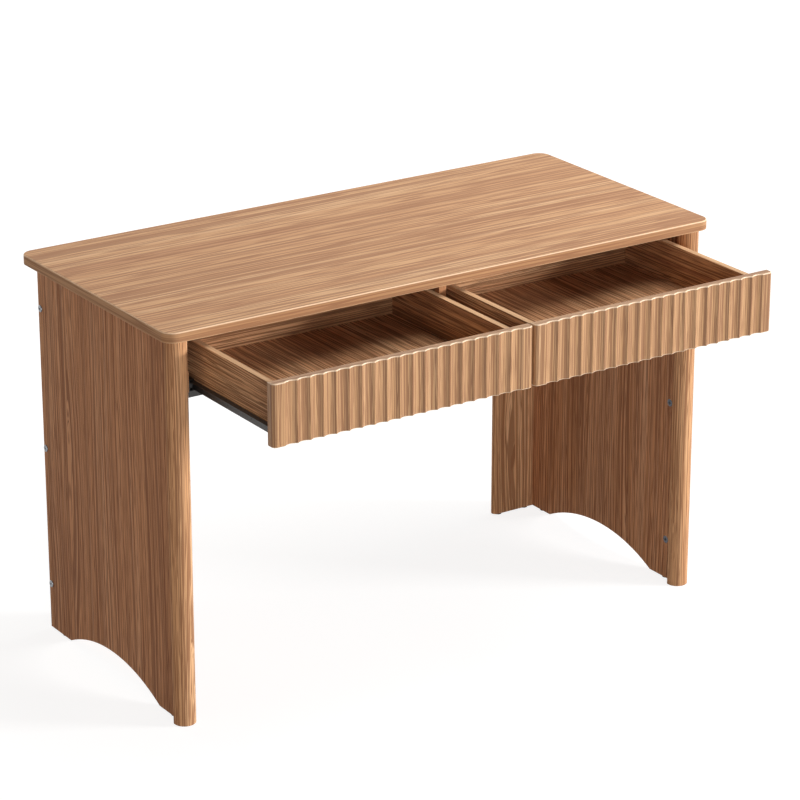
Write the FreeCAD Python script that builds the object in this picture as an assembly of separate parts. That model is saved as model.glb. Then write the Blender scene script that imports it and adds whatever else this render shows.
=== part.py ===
import FreeCAD
import Part
import math
import os

from FreeCAD import Vector

# Driving dimensions, all in millimetres

# Desktop board
DESK_WIDTH = 1200.0
DESK_DEPTH = 554.0
DESK_HEIGHT = 762.0
TOP_THICKNESS = 19.0
TOP_CORNER_RADIUS = 25.0
TOP_EDGE_ROUND = 2.5
BOARD_EASE = 0.8

# Legs: an arched side panel, a half-round front post and a rear wing on each side
PANEL_THICKNESS = 18.0
PANEL_SIDE_INSET = 24.0
LEG_REAR_INSET = 24.0
LEG_FRONT_INSET = 10.0
POST_WIDTH = 42.0
POST_FLAT = 4.0
REAR_FOOT = 80.0
FRONT_FOOT = 73.0
ARCH_RISE = 41.0
WING_WIDTH = 98.0
WING_THICKNESS = 18.0

# Glides nailed under the panels and wings
GLIDE_HEIGHT = 3.0
GLIDE_DIAMETER = 14.0
GLIDE_NAIL_DIAMETER = 2.4
GLIDE_NAIL_LENGTH = 14.0
GLIDE_REAR_SETBACK = 46.0
GLIDE_FRONT_SETBACK = 31.0
GLIDE_WING_SETBACK = 16.0

# Carcass between the legs
BACK_HEIGHT = 120.0
BACK_THICKNESS = 15.0
DIVIDER_THICKNESS = 16.0
BATTEN_HEIGHT = 40.0
BATTEN_FRONT_GAP = 4.0
RAIL_HEIGHT = 16.0
RAIL_DEPTH = 20.0
RAIL_WALL = 1.5
RAIL_SETBACK = 19.0
RAIL_PLATE_WALL = 3.0
RAIL_PLATE_EAR = 12.0

# Fluted drawer fronts
FRONT_TOP_GAP = 6.0
FRONT_HEIGHT = 116.0
FRONT_THICKNESS = 19.0
FRONT_POST_GAP = 4.0
FRONT_MIDDLE_GAP = 5.0
FRONT_CLOSED_GAP = 1.0
FRONT_END_RADIUS = 8.0
FRONT_EDGE_ROUND = 1.6
FLUTE_PITCH = 26.0
FLUTE_DEPTH = 4.5
FLUTE_RIDGE = 1.6
FLUTE_LEAST_LAND = 18.0

# Drawer boxes
SIDE_THICKNESS = 12.0
SIDE_HEIGHT = 90.0
SIDE_TOP_DROP = 13.0
BOX_REAR_GAP = 63.0
BOX_BACK_DROP = 2.0
BOTTOM_THICKNESS = 5.0
BOTTOM_RAISE = 10.0
GROOVE_DEPTH = 5.0
GROOVE_CLEARANCE = 0.2

# Length of runner that is still engaged with the drawers open as they are built
RUNNER_OVERLAP = 126.0

# Roller runners, folded from steel strip
RUNNER_GAP = 12.5
RUNNER_STEEL = 1.2
RUNNER_WEB = 18.0
RUNNER_TIP_GAP = 0.8
RUNNER_ROOF_GAP = 2.0
RUNNER_RAIL_GAP = 1.1
ROLLER_DIAMETER = 15.6
ROLLER_RIM_ROUND = 0.8
ROLLER_SIDE_GAP = 0.5
ROLLER_SETBACK = 12.0
STUD_DIAMETER = 5.0
STUD_CLEARANCE = 0.08
RUN_CLEARANCE = 0.3

# Cams, cam bolts and dowels
FASTENER_CLEARANCE = 0.1
CAM_SETBACK = 24.0
CAM_DIAMETER = 15.0
CAM_DEPTH = 12.5
DRAWER_CAM_DIAMETER = 12.0
DRAWER_CAM_DEPTH = 9.6
CAM_SLOT_LENGTH = 8.0
CAM_SLOT_WIDTH = 1.6
CAM_SLOT_DEPTH = 1.4
CAM_BOLT_DIAMETER = 6.0
CAM_BOLT_NECK_DIAMETER = 3.6
CAM_BOLT_HEAD_LENGTH = 3.0
CAM_BOLT_NECK_LENGTH = 3.0
CAM_BOLT_THREAD = 11.0
DOWEL_DIAMETER = 8.0
DOWEL_LENGTH = 30.0
DOWEL_IN_TOP = 12.0
TOP_JOINT_MARGIN = 75.0

# Connecting bolts and barrel nuts between panel and wing
WING_BOLT_DIAMETER = 6.0
WING_BOLT_HEAD = 13.5
WING_BOLT_HEAD_HEIGHT = 2.4
WING_BOLT_HEAD_ROUND = 1.4
WING_BOLT_SOCKET = 4.0
WING_BOLT_SOCKET_DEPTH = 1.7
WING_BOLT_REACH = 38.0
BARREL_DIAMETER = 10.0
BARREL_LENGTH = 13.0
BARREL_SETBACK = 30.0

# Screws
SCREW_DIAMETER = 4.0
SCREW_HEAD = 7.6
BACK_SCREW_LENGTH = 35.0
BATTEN_SCREW_GRIP = 12.0
PAN_SCREW_DIAMETER = 3.2
PAN_SCREW_HEAD = 6.4
PAN_SCREW_HEAD_HEIGHT = 0.6
PAN_SCREW_GRIP = 6.5

# Heights of the fastener rows, measured in from the foot and from the top face
POST_CAM_FOOT = 85.0
POST_CAM_HEAD = 94.0
WING_BOLT_FOOT = 96.0
WING_BOLT_TOP = 106.0

# Two places closer than this are the same place
SAME = 0.01

# Places across the desk, for the right-hand half
half_width = DESK_WIDTH / 2
panel_outer_x = half_width - PANEL_SIDE_INSET
panel_inner_x = panel_outer_x - PANEL_THICKNESS
panel_middle_x = panel_outer_x - PANEL_THICKNESS / 2
post_outer_x = panel_middle_x + POST_WIDTH / 2
post_inner_x = panel_middle_x - POST_WIDTH / 2
wing_end_x = panel_inner_x - WING_WIDTH
divider_x = DIVIDER_THICKNESS / 2
front_near_x = FRONT_MIDDLE_GAP / 2
front_far_x = post_inner_x - FRONT_POST_GAP
box_near_x = divider_x + RUNNER_GAP
box_far_x = front_far_x - (box_near_x - front_near_x)
batten_x = box_far_x + RUNNER_GAP

# Places from front to back: the middle of the open desk is at zero
post_depth = POST_FLAT + POST_WIDTH / 2
panel_front = DESK_DEPTH - LEG_FRONT_INSET - post_depth
box_rear = LEG_REAR_INSET + WING_THICKNESS + BACK_THICKNESS + BOX_REAR_GAP
runner_length = panel_front - BATTEN_FRONT_GAP - box_rear
drawer_opening = runner_length - RUNNER_OVERLAP
overall_depth = panel_front + FRONT_CLOSED_GAP + FRONT_THICKNESS + drawer_opening
back_y = overall_depth / 2
leg_rear_y = back_y - LEG_REAR_INSET
panel_front_y = back_y - panel_front
wing_middle_y = leg_rear_y - WING_THICKNESS / 2
wing_face_y = leg_rear_y - WING_THICKNESS
back_face_y = wing_face_y - BACK_THICKNESS
back_middle_y = wing_face_y - BACK_THICKNESS / 2
rail_front_y = panel_front_y + RAIL_SETBACK
front_rear_y = panel_front_y - FRONT_CLOSED_GAP - drawer_opening
front_face_y = front_rear_y - FRONT_THICKNESS
box_rear_y = back_y - box_rear - drawer_opening
runner_front_y = panel_front_y + BATTEN_FRONT_GAP
runner_rear_y = back_y - box_rear
drawer_runner_y = runner_front_y - drawer_opening

# Heights
top_under_z = DESK_HEIGHT - TOP_THICKNESS
front_top_z = top_under_z - FRONT_TOP_GAP
front_bottom_z = front_top_z - FRONT_HEIGHT
side_top_z = front_top_z - SIDE_TOP_DROP
side_bottom_z = side_top_z - SIDE_HEIGHT
bottom_z = side_bottom_z + BOTTOM_RAISE
back_bottom_z = top_under_z - BACK_HEIGHT

# Heights and lengths inside a runner
roller_radius = ROLLER_DIAMETER / 2
lip_z = side_bottom_z - RUNNER_STEEL
flange_z = lip_z + RUNNER_WEB - RUNNER_STEEL
front_roller_z = flange_z - RUN_CLEARANCE - roller_radius
track_z = flange_z - ROLLER_DIAMETER - 3 * RUN_CLEARANCE
rear_roller_z = track_z + RUN_CLEARANCE + roller_radius
front_roller_y = runner_front_y + ROLLER_SETBACK
rear_roller_y = drawer_runner_y + runner_length - ROLLER_SETBACK
fixed_reach = RUNNER_GAP - RUNNER_STEEL - RUNNER_TIP_GAP
roller_width = fixed_reach - RUNNER_STEEL - 2 * ROLLER_SIDE_GAP
rail_top_z = min(lip_z, track_z - RUNNER_STEEL) - RUNNER_RAIL_GAP

X_AXIS = Vector(1, 0, 0)
Y_AXIS = Vector(0, 1, 0)
Z_AXIS = Vector(0, 0, 1)
SIDES = {"left": -1, "right": 1}
RUNNER_PLACES = ("inner", "outer")


def block(x0, x1, y0, y1, z0, z1):
    """Square block between two corners, given in any order."""
    low = Vector(min(x0, x1), min(y0, y1), min(z0, z1))
    return Part.makeBox(abs(x1 - x0), abs(y1 - y0), abs(z1 - z0), low)


def block_between(a, b):
    """Square block between two corner points."""
    return block(a.x, b.x, a.y, b.y, a.z, b.z)


def rod(start, axis, diameter, length):
    """Round bar from a point along an axis."""
    return Part.makeCylinder(diameter / 2, length, start, axis)


def eased_block(*corners):
    """Board with lightly eased edges."""
    board = block(*corners)
    return board.makeFillet(BOARD_EASE, board.Edges)


def joined(shapes):
    """Shapes run together into one solid."""
    return shapes[0].fuse(shapes[1:]).removeSplitter().Solids[0]


def drilled(shape, holes):
    """The shape with every hole that reaches it taken out."""
    reaching = [hole for hole in holes if hole.BoundBox.intersect(shape.BoundBox)]
    return shape.cut(reaching).Solids[0]


def even_rows(low, high, count):
    """Evenly spaced values from low to high."""
    step = (high - low) / (count - 1)
    return [low + step * i for i in range(count)]


def lines_through(points):
    """Straight edges from each point to the next."""
    return [Part.makeLine(a, b) for a, b in zip(points, points[1:])]


# Fasteners and the holes that take them


def cam_lock(centre, inward, bolt_axis, diameter, depth, bolt_depth):
    """Cam set flush in a face, with a crossed slot and a socket for the bolt's head."""
    across = inward.cross(bolt_axis)
    cuts = []
    for along, width in ((bolt_axis, across), (across, bolt_axis)):
        corner = along * (CAM_SLOT_LENGTH / 2) + width * (CAM_SLOT_WIDTH / 2)
        cuts.append(block_between(centre - corner, centre + corner + inward * CAM_SLOT_DEPTH))
    socket_half = CAM_BOLT_DIAMETER / 2 + FASTENER_CLEARANCE
    near = centre + inward * (bolt_depth - socket_half) - (across + bolt_axis) * socket_half
    far = centre + inward * depth + across * socket_half + bolt_axis * diameter
    cuts.append(block_between(near, far))
    return drilled(rod(centre, inward, diameter, depth), cuts)


def cam_hole(centre, inward, diameter, depth):
    """Blind hole for a cam."""
    return rod(centre, inward, diameter + 2 * FASTENER_CLEARANCE, depth + FASTENER_CLEARANCE)


def cam_bolt(centre, axis):
    """Steel bolt from the middle of a cam to its thread in the next board."""
    head = rod(centre, axis, CAM_BOLT_DIAMETER, CAM_BOLT_HEAD_LENGTH)
    neck_start = centre + axis * CAM_BOLT_HEAD_LENGTH
    neck = rod(neck_start, axis, CAM_BOLT_NECK_DIAMETER, CAM_BOLT_NECK_LENGTH)
    shank_start = neck_start + axis * CAM_BOLT_NECK_LENGTH
    shank_length = CAM_SETBACK + CAM_BOLT_THREAD - CAM_BOLT_HEAD_LENGTH - CAM_BOLT_NECK_LENGTH
    shank = rod(shank_start, axis, CAM_BOLT_DIAMETER, shank_length)
    return joined([head, neck, shank])


def cam_bolt_hole(centre, axis):
    """Hole through the cammed board's edge and into the next board."""
    diameter = CAM_BOLT_DIAMETER + 2 * FASTENER_CLEARANCE
    return rod(centre, axis, diameter, CAM_SETBACK + CAM_BOLT_THREAD + FASTENER_CLEARANCE)


def dowel(start, axis, clearance=0.0):
    """Wooden dowel, or with a clearance its hole."""
    begin = start - axis * clearance
    return rod(begin, axis, DOWEL_DIAMETER + 2 * clearance, DOWEL_LENGTH + 2 * clearance)


def flat_screw(face, inward, length, clearance=0.0):
    """Countersunk screw set flush in a face, or with a clearance its hole."""
    head_radius = SCREW_HEAD / 2 + clearance
    shank_radius = SCREW_DIAMETER / 2 + clearance
    head = Part.makeCone(head_radius, shank_radius, head_radius - shank_radius, face, inward)
    shank = rod(face, inward, 2 * shank_radius, length + clearance)
    return joined([head, shank])


def pan_screw(face, inward, length):
    """Low-headed screw whose head stands on a face."""
    head_start = face - inward * PAN_SCREW_HEAD_HEIGHT
    head = rod(head_start, inward, PAN_SCREW_HEAD, PAN_SCREW_HEAD_HEIGHT)
    shank = rod(face, inward, PAN_SCREW_DIAMETER, length)
    return joined([head, shank])


def pan_screw_hole(face, inward, length):
    """Hole for the shank of a low-headed screw."""
    diameter = PAN_SCREW_DIAMETER + 2 * FASTENER_CLEARANCE
    return rod(face, inward, diameter, length + FASTENER_CLEARANCE)


def wing_bolt(face, inward):
    """Connecting bolt with a domed socket head on the panel's outer face."""
    crown = face - inward * WING_BOLT_HEAD_HEIGHT
    head = rod(crown, inward, WING_BOLT_HEAD, WING_BOLT_HEAD_HEIGHT)
    rim = [edge for edge in head.Edges if edge.CenterOfMass.isEqual(crown, SAME)]
    head = head.makeFillet(WING_BOLT_HEAD_ROUND, rim)
    head = head.cut(rod(crown, inward, WING_BOLT_SOCKET, WING_BOLT_SOCKET_DEPTH))
    shank = rod(face, inward, WING_BOLT_DIAMETER, PANEL_THICKNESS + WING_BOLT_REACH)
    return joined([head, shank])


def wing_bolt_hole(face, inward):
    """Hole for a connecting bolt's shank."""
    diameter = WING_BOLT_DIAMETER + 2 * FASTENER_CLEARANCE
    return rod(face, inward, diameter, PANEL_THICKNESS + WING_BOLT_REACH + FASTENER_CLEARANCE)


def barrel_nut(side, z, clearance=0.0):
    """Barrel let into a wing's rear face, or with a clearance its hole."""
    start = Vector(side * (panel_inner_x - BARREL_SETBACK), leg_rear_y, z)
    return rod(start, -Y_AXIS, BARREL_DIAMETER + 2 * clearance, BARREL_LENGTH + clearance)


def glide(x, y):
    """Nail-on glide."""
    disc = rod(Vector(x, y, 0), Z_AXIS, GLIDE_DIAMETER, GLIDE_HEIGHT)
    nail = rod(Vector(x, y, GLIDE_HEIGHT), Z_AXIS, GLIDE_NAIL_DIAMETER, GLIDE_NAIL_LENGTH)
    return joined([disc, nail])


def glide_hole(x, y):
    """Hole for a glide's nail."""
    diameter = GLIDE_NAIL_DIAMETER + 2 * FASTENER_CLEARANCE
    return rod(Vector(x, y, GLIDE_HEIGHT), Z_AXIS, diameter, GLIDE_NAIL_LENGTH + FASTENER_CLEARANCE)


# Where the fasteners stand


def top_joint_rows():
    """Front-to-back places of the joints between a panel and the desktop."""
    return even_rows(panel_front_y + TOP_JOINT_MARGIN, leg_rear_y - TOP_JOINT_MARGIN, 4)


def post_cam_rows(count):
    """Heights of the joints between a panel and its post."""
    return even_rows(POST_CAM_FOOT, DESK_HEIGHT - POST_CAM_HEAD, count)


def frame_cams():
    """Every cam of the frame: centre on the face, inward and bolt directions, board thickness."""
    cams = []
    top_rows = top_joint_rows()
    back_rows = even_rows(back_bottom_z, top_under_z, 5)
    for side in SIDES.values():
        outward = X_AXIS * side
        face_x = side * panel_inner_x
        for z in post_cam_rows(3):
            place = Vector(face_x, panel_front_y + CAM_SETBACK, z)
            cams.append((place, outward, -Y_AXIS, PANEL_THICKNESS))
        for y in (top_rows[0], top_rows[-1]):
            place = Vector(face_x, y, top_under_z - CAM_SETBACK)
            cams.append((place, outward, Z_AXIS, PANEL_THICKNESS))
        for z in (back_rows[1], back_rows[3]):
            place = Vector(side * (panel_inner_x - CAM_SETBACK), back_face_y, z)
            cams.append((place, Y_AXIS, outward, BACK_THICKNESS))
    return cams


def frame_dowels():
    """Every dowel of the frame: start point and direction."""
    places = []
    rise_z = top_under_z + DOWEL_IN_TOP - DOWEL_LENGTH
    back_middle_z = (back_bottom_z + top_under_z) / 2
    for side in SIDES.values():
        x = side * panel_middle_x
        for y in top_joint_rows()[1:3]:
            places.append((Vector(x, y, rise_z), Z_AXIS))
        places.append((Vector(x, panel_front_y - post_depth / 2, rise_z), Z_AXIS))
        for z in post_cam_rows(5)[1::2]:
            places.append((Vector(x, panel_front_y + DOWEL_LENGTH / 2, z), -Y_AXIS))
        end_x = side * (panel_inner_x - DOWEL_LENGTH / 2)
        places.append((Vector(end_x, back_middle_y, back_middle_z), X_AXIS * side))
    for y in even_rows(panel_front_y, back_face_y, 5)[1::2]:
        places.append((Vector(0, y, rise_z), Z_AXIS))
    return places


def wing_bolt_places(side):
    """Head seats on a panel's outer face, in line with the wing's thickness."""
    rows = even_rows(WING_BOLT_FOOT, DESK_HEIGHT - WING_BOLT_TOP, 3)
    return [Vector(side * panel_outer_x, wing_middle_y, z) for z in rows]


def glide_places(side):
    """Glide centres under one side: two under the panel, two under the wing."""
    panel_x = side * panel_middle_x
    return [
        (panel_x, leg_rear_y - GLIDE_REAR_SETBACK),
        (panel_x, panel_front_y + GLIDE_FRONT_SETBACK),
        (side * (panel_inner_x - GLIDE_WING_SETBACK), wing_middle_y),
        (side * (wing_end_x + GLIDE_WING_SETBACK), wing_middle_y),
    ]


def batten_screw_places(side):
    """Screw seats on a batten's inner face, above the runner."""
    z = rail_top_z + BATTEN_HEIGHT - SCREW_HEAD
    rows = even_rows(runner_front_y, runner_rear_y, 7)[1::2]
    return [Vector(side * batten_x, y, z) for y in rows]


def batten_screw(side, face, clearance=0.0):
    """Screw through a batten into its panel, or with a clearance its hole."""
    length = panel_inner_x - batten_x + BATTEN_SCREW_GRIP
    return flat_screw(face, X_AXIS * side, length, clearance)


def runner_wall(side, which):
    """Face that carries a fixed runner, and the way it faces."""
    if which == "inner":
        return side * divider_x, side
    return side * batten_x, -side


def runner_screw_rows(front_y):
    """Screw places along a runner."""
    return even_rows(front_y, front_y + runner_length, 6)[1:5]


def fixed_runner_screws(side, which):
    """Screw seats on a fixed runner's web, each with its direction."""
    wall_x, way = runner_wall(side, which)
    face_x = wall_x + way * RUNNER_STEEL
    z = (track_z + flange_z) / 2
    return [(Vector(face_x, y, z), X_AXIS * -way) for y in runner_screw_rows(runner_front_y)]


def drawer_runner_screws(side, which):
    """Screw seats on a drawer runner's web, each with its direction."""
    wall_x, way = runner_wall(side, which)
    face_x = wall_x + way * (RUNNER_GAP - RUNNER_STEEL)
    z = (lip_z + flange_z) / 2
    return [(Vector(face_x, y, z), X_AXIS * way) for y in runner_screw_rows(drawer_runner_y)]


def rail_plate_screws(side):
    """Screw seats on the front rail's end plate, each with its direction."""
    face_x = side * (panel_inner_x - RAIL_PLATE_WALL)
    z = rail_top_z - RAIL_HEIGHT / 2
    ears = (rail_front_y - RAIL_PLATE_EAR / 2, rail_front_y + RAIL_DEPTH + RAIL_PLATE_EAR / 2)
    return [(Vector(face_x, y, z), X_AXIS * side) for y in ears]


def divider_rail_seat():
    """Screw seat under the front rail's top, below the divider."""
    return Vector(0, rail_front_y + RAIL_DEPTH / 2, rail_top_z - RAIL_WALL)


def divider_back_seats():
    """Screw seats on the back panel's rear face, behind the divider."""
    rows = even_rows(rail_top_z, top_under_z, 4)[1:3]
    return [Vector(0, wing_face_y, z) for z in rows]


def drawer_cams(side):
    """Cams on the inner faces of a drawer's sides: centre and inward direction."""
    near = side * (box_near_x + SIDE_THICKNESS)
    far = side * (box_far_x - SIDE_THICKNESS)
    y = front_rear_y + CAM_SETBACK
    places = []
    for z in even_rows(bottom_z + BOTTOM_THICKNESS, side_top_z, 4)[1:3]:
        places.append((Vector(near, y, z), X_AXIS * -side))
        places.append((Vector(far, y, z), X_AXIS * side))
    return places


def drawer_back_screws(side):
    """Screws through a drawer's sides into its back: seat and direction."""
    y = box_rear_y - SIDE_THICKNESS / 2
    places = []
    for z in even_rows(lip_z + RUNNER_WEB, side_top_z, 4)[1:3]:
        places.append((Vector(side * box_near_x, y, z), X_AXIS * side))
        places.append((Vector(side * box_far_x, y, z), X_AXIS * -side))
    return places


def frame_joint_holes():
    """Holes of the frame's cams, cam bolts and dowels."""
    holes = []
    for place, inward, bolt_axis, thickness in frame_cams():
        holes.append(cam_hole(place, inward, CAM_DIAMETER, CAM_DEPTH))
        holes.append(cam_bolt_hole(place + inward * (thickness / 2), bolt_axis))
    for start, axis in frame_dowels():
        holes.append(dowel(start, axis, FASTENER_CLEARANCE))
    return holes


# Boards of the frame


def desktop():
    """Writing surface with rounded corners and a soft upper edge."""
    front_y = back_y - DESK_DEPTH
    board = block(-half_width, half_width, front_y, back_y, top_under_z, DESK_HEIGHT)
    upright = [edge for edge in board.Edges if edge.BoundBox.ZLength > TOP_THICKNESS - SAME]
    board = board.makeFillet(TOP_CORNER_RADIUS, upright)
    upper = [edge for edge in board.Edges if edge.BoundBox.ZMin > DESK_HEIGHT - SAME]
    board = board.makeFillet(TOP_EDGE_ROUND, upper)
    lower = [edge for edge in board.Edges if edge.BoundBox.ZMax < top_under_z + SAME]
    board = board.makeFillet(BOARD_EASE, lower)
    return drilled(board, frame_joint_holes())


def side_panel(side):
    """Upright panel with an arch between its feet."""
    inner = side * panel_inner_x
    arch_front = panel_front_y + FRONT_FOOT
    arch_rear = leg_rear_y - REAR_FOOT
    corners = [
        Vector(inner, arch_rear, GLIDE_HEIGHT),
        Vector(inner, leg_rear_y, GLIDE_HEIGHT),
        Vector(inner, leg_rear_y, top_under_z),
        Vector(inner, panel_front_y, top_under_z),
        Vector(inner, panel_front_y, GLIDE_HEIGHT),
        Vector(inner, arch_front, GLIDE_HEIGHT),
    ]
    crown = Vector(inner, (arch_front + arch_rear) / 2, GLIDE_HEIGHT + ARCH_RISE)
    edges = lines_through(corners)
    edges.append(Part.Arc(corners[-1], crown, corners[0]).toShape())
    board = Part.Face(Part.Wire(edges)).extrude(X_AXIS * side * PANEL_THICKNESS)
    rims = [edge for edge in board.Edges if edge.BoundBox.XLength < SAME]
    board = board.makeFillet(BOARD_EASE, rims)
    holes = frame_joint_holes()
    for face in wing_bolt_places(side):
        holes.append(wing_bolt_hole(face, X_AXIS * -side))
    for x, y in glide_places(side):
        holes.append(glide_hole(x, y))
    for face in batten_screw_places(side):
        holes.append(batten_screw(side, face, FASTENER_CLEARANCE))
    for face, inward in rail_plate_screws(side):
        holes.append(pan_screw_hole(face, inward, RAIL_PLATE_WALL + PAN_SCREW_GRIP))
    return drilled(board, holes)


def front_post(side):
    """Half-round post on the front edge of a side panel."""
    inner = side * post_inner_x
    outer = side * post_outer_x
    flat_y = panel_front_y - POST_FLAT
    corners = [
        Vector(inner, flat_y, 0),
        Vector(inner, panel_front_y, 0),
        Vector(outer, panel_front_y, 0),
        Vector(outer, flat_y, 0),
    ]
    nose = Vector(side * panel_middle_x, panel_front_y - post_depth, 0)
    edges = lines_through(corners)
    edges.append(Part.Arc(corners[-1], nose, corners[0]).toShape())
    post = Part.Face(Part.Wire(edges)).extrude(Z_AXIS * top_under_z)
    foot = [edge for edge in post.Edges if edge.BoundBox.ZMax < SAME]
    post = post.makeFillet(BOARD_EASE, foot)
    return drilled(post, frame_joint_holes())


def rear_wing(side):
    """Narrow upright board behind a side panel, round along its free edge."""
    fixed_x = side * panel_inner_x
    round_x = side * (wing_end_x + WING_THICKNESS / 2)
    corners = [
        Vector(round_x, wing_face_y, GLIDE_HEIGHT),
        Vector(fixed_x, wing_face_y, GLIDE_HEIGHT),
        Vector(fixed_x, leg_rear_y, GLIDE_HEIGHT),
        Vector(round_x, leg_rear_y, GLIDE_HEIGHT),
    ]
    nose = Vector(side * wing_end_x, wing_middle_y, GLIDE_HEIGHT)
    edges = lines_through(corners)
    edges.append(Part.Arc(corners[-1], nose, corners[0]).toShape())
    board = Part.Face(Part.Wire(edges)).extrude(Z_AXIS * (top_under_z - GLIDE_HEIGHT))
    holes = []
    for face in wing_bolt_places(side):
        holes.append(wing_bolt_hole(face, X_AXIS * -side))
        holes.append(barrel_nut(side, face.z, FASTENER_CLEARANCE))
    for x, y in glide_places(side):
        holes.append(glide_hole(x, y))
    return drilled(board, holes)


def back_panel():
    """Stiffening board behind the drawers, between the side panels."""
    board = eased_block(
        -panel_inner_x, panel_inner_x, back_face_y, wing_face_y, back_bottom_z, top_under_z
    )
    holes = frame_joint_holes()
    for face in divider_back_seats():
        holes.append(flat_screw(face, -Y_AXIS, BACK_SCREW_LENGTH, FASTENER_CLEARANCE))
    return drilled(board, holes)


def centre_divider():
    """Upright board between the two drawers."""
    board = eased_block(
        -divider_x, divider_x, panel_front_y, back_face_y, rail_top_z, top_under_z
    )
    holes = frame_joint_holes()
    for face in divider_back_seats():
        holes.append(flat_screw(face, -Y_AXIS, BACK_SCREW_LENGTH, FASTENER_CLEARANCE))
    for side in SIDES.values():
        for face, inward in fixed_runner_screws(side, "inner"):
            holes.append(pan_screw_hole(face, inward, RUNNER_STEEL + PAN_SCREW_GRIP))
    holes.append(pan_screw_hole(divider_rail_seat(), Z_AXIS, RAIL_WALL + PAN_SCREW_GRIP))
    return drilled(board, holes)


def runner_batten(side):
    """Packing strip that brings the outer runner in past the post."""
    high = rail_top_z + BATTEN_HEIGHT
    board = eased_block(
        side * batten_x, side * panel_inner_x, runner_front_y, runner_rear_y, rail_top_z, high
    )
    holes = []
    for face in batten_screw_places(side):
        holes.append(batten_screw(side, face, FASTENER_CLEARANCE))
    for face, inward in fixed_runner_screws(side, "outer"):
        holes.append(pan_screw_hole(face, inward, RUNNER_STEEL + PAN_SCREW_GRIP))
    return drilled(board, holes)


def front_rail():
    """Folded steel rail under the drawers, with a welded plate at each end."""
    low = rail_top_z - RAIL_HEIGHT
    rear_y = rail_front_y + RAIL_DEPTH
    roof_z = rail_top_z - RAIL_WALL
    shapes = [
        block(-panel_inner_x, panel_inner_x, rail_front_y, rear_y, roof_z, rail_top_z),
        block(-panel_inner_x, panel_inner_x, rail_front_y, rail_front_y + RAIL_WALL, low, rail_top_z),
        block(-panel_inner_x, panel_inner_x, rear_y - RAIL_WALL, rear_y, low, rail_top_z),
    ]
    holes = [pan_screw_hole(divider_rail_seat(), Z_AXIS, RAIL_WALL)]
    plate_front_y = rail_front_y - RAIL_PLATE_EAR
    plate_rear_y = rear_y + RAIL_PLATE_EAR
    for side in SIDES.values():
        outer = side * panel_inner_x
        inner = side * (panel_inner_x - RAIL_PLATE_WALL)
        shapes.append(block(inner, outer, plate_front_y, plate_rear_y, low, rail_top_z))
        for face, inward in rail_plate_screws(side):
            holes.append(pan_screw_hole(face, inward, RAIL_PLATE_WALL))
    return drilled(joined(shapes), holes)


# Roller runners


def fixed_runner(side, which):
    """Channel screwed to the frame, with the stud of its front roller."""
    wall_x, way = runner_wall(side, which)
    web_x = wall_x + way * RUNNER_STEEL
    tip_x = wall_x + way * fixed_reach
    low = track_z - RUNNER_STEEL
    roof_z = flange_z + RUNNER_STEEL + RUNNER_ROOF_GAP
    high = roof_z + RUNNER_STEEL
    stud_start = Vector(wall_x, front_roller_y, front_roller_z)
    shapes = [
        block(wall_x, web_x, runner_front_y, runner_rear_y, low, high),
        block(wall_x, tip_x, runner_front_y, runner_rear_y, low, track_z),
        block(wall_x, tip_x, runner_front_y, runner_rear_y, roof_z, high),
        rod(stud_start, X_AXIS * way, STUD_DIAMETER, fixed_reach),
    ]
    holes = []
    for face, inward in fixed_runner_screws(side, which):
        holes.append(pan_screw_hole(face, inward, RUNNER_STEEL))
    return drilled(joined(shapes), holes)


def drawer_runner(side, which):
    """Strip under a drawer side, with a flange over the front roller and the rear roller's stud."""
    wall_x, way = runner_wall(side, which)
    rear_y = drawer_runner_y + runner_length
    side_x = wall_x + way * RUNNER_GAP
    web_x = side_x - way * RUNNER_STEEL
    tip_x = wall_x + way * (RUNNER_GAP - fixed_reach)
    lip_x = side_x + way * SIDE_THICKNESS
    stud_start = Vector(side_x, rear_roller_y, rear_roller_z)
    shapes = [
        block(web_x, side_x, drawer_runner_y, rear_y, lip_z, lip_z + RUNNER_WEB),
        block(web_x, lip_x, drawer_runner_y, rear_y, lip_z, side_bottom_z),
        block(tip_x, side_x, drawer_runner_y, rear_y, flange_z, flange_z + RUNNER_STEEL),
        rod(stud_start, X_AXIS * -way, STUD_DIAMETER, fixed_reach),
    ]
    holes = []
    for face, inward in drawer_runner_screws(side, which):
        holes.append(pan_screw_hole(face, inward, RUNNER_STEEL))
    return drilled(joined(shapes), holes)


def roller(start, axis):
    """Plastic roller with a plain bore."""
    body = rod(start, axis, ROLLER_DIAMETER, roller_width)
    rims = [edge for edge in body.Edges if edge.Closed]
    body = body.makeFillet(ROLLER_RIM_ROUND, rims)
    return drilled(body, [rod(start, axis, STUD_DIAMETER + 2 * STUD_CLEARANCE, roller_width)])


def front_rollers(side):
    """The pair of rollers on one drawer's fixed runners."""
    pair = []
    for which in RUNNER_PLACES:
        wall_x, way = runner_wall(side, which)
        start_x = wall_x + way * (RUNNER_STEEL + ROLLER_SIDE_GAP)
        pair.append(roller(Vector(start_x, front_roller_y, front_roller_z), X_AXIS * way))
    return pair


def rear_rollers(side):
    """The pair of rollers on one drawer's own runners."""
    pair = []
    for which in RUNNER_PLACES:
        wall_x, way = runner_wall(side, which)
        start_x = wall_x + way * (RUNNER_GAP - RUNNER_STEEL - ROLLER_SIDE_GAP)
        pair.append(roller(Vector(start_x, rear_roller_y, rear_roller_z), X_AXIS * -way))
    return pair


# Drawers


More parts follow.
